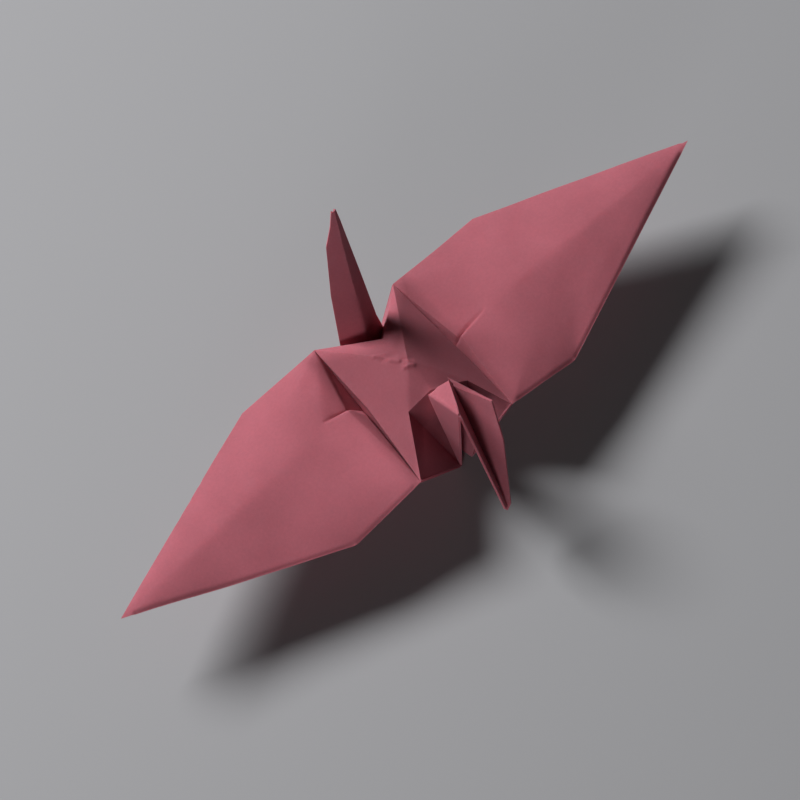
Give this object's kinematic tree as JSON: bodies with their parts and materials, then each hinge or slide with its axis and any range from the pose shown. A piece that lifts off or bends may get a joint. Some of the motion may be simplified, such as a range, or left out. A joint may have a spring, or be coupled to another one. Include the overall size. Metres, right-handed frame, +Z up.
{
  "type": "folded paper crane",
  "caption": "Origami crane folded from a square sheet of pink paper, standing on its belly with wings spread level, a steep tail and a neck with a bent head",
  "frame": {"origin": "on the table under the middle of the bounding box", "axes": "+Z up, +X towards the crane's wing on the right when its head points at the viewer, +Y towards the tail"},
  "size_m": [0.0822, 0.029, 0.0342],
  "materials": {
    "pink_paper": "matte"
  },
  "bodies": {
    "root": {"folded_crane": "pink_paper"}
  },
  "joints": []
}
